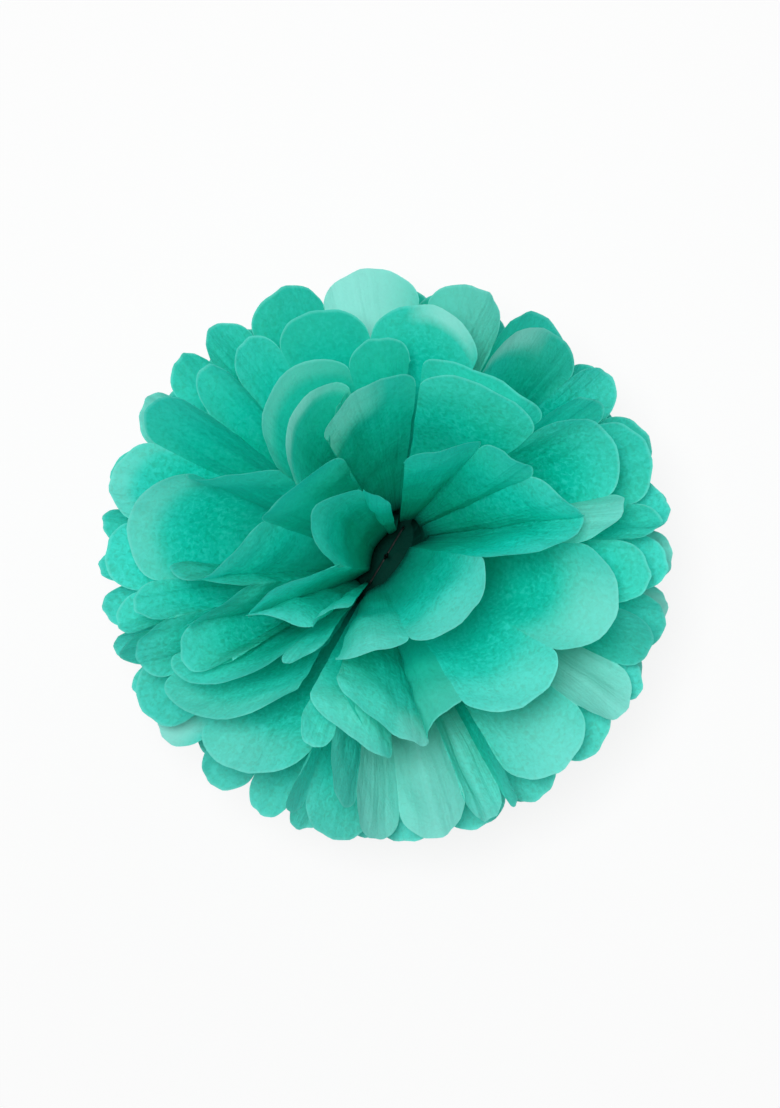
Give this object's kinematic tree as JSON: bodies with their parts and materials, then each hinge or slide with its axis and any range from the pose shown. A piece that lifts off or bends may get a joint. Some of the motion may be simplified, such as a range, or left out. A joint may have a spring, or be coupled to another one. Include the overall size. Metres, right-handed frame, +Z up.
{
  "type": "tissue paper pom pom",
  "caption": "Ball of pleated tissue paper sheets with scalloped leaves, tied round the middle and fluffed up, used as a party decoration.",
  "frame": {"origin": "centre of the base, on the surface that the ball rests on", "axes": "+Z up along the axis through the tied middle; the leaves seen in the picture face +Z, with +Y towards its top and +X to its right"},
  "size_m": [0.2482, 0.2462, 0.24],
  "materials": {
    "tissue_paper": "matt, thin, lets light through",
    "tie_wire": "drawn wire"
  },
  "bodies": {
    "root": {"tissue_sheet_01": "tissue_paper", "tissue_sheet_02": "tissue_paper", "tissue_sheet_03": "tissue_paper", "tissue_sheet_04": "tissue_paper", "tissue_sheet_05": "tissue_paper", "tissue_sheet_06": "tissue_paper", "tissue_sheet_07": "tissue_paper", "tissue_sheet_08": "tissue_paper", "tissue_sheet_09": "tissue_paper", "tissue_sheet_10": "tissue_paper", "tie_wire": "tie_wire"}
  },
  "joints": []
}
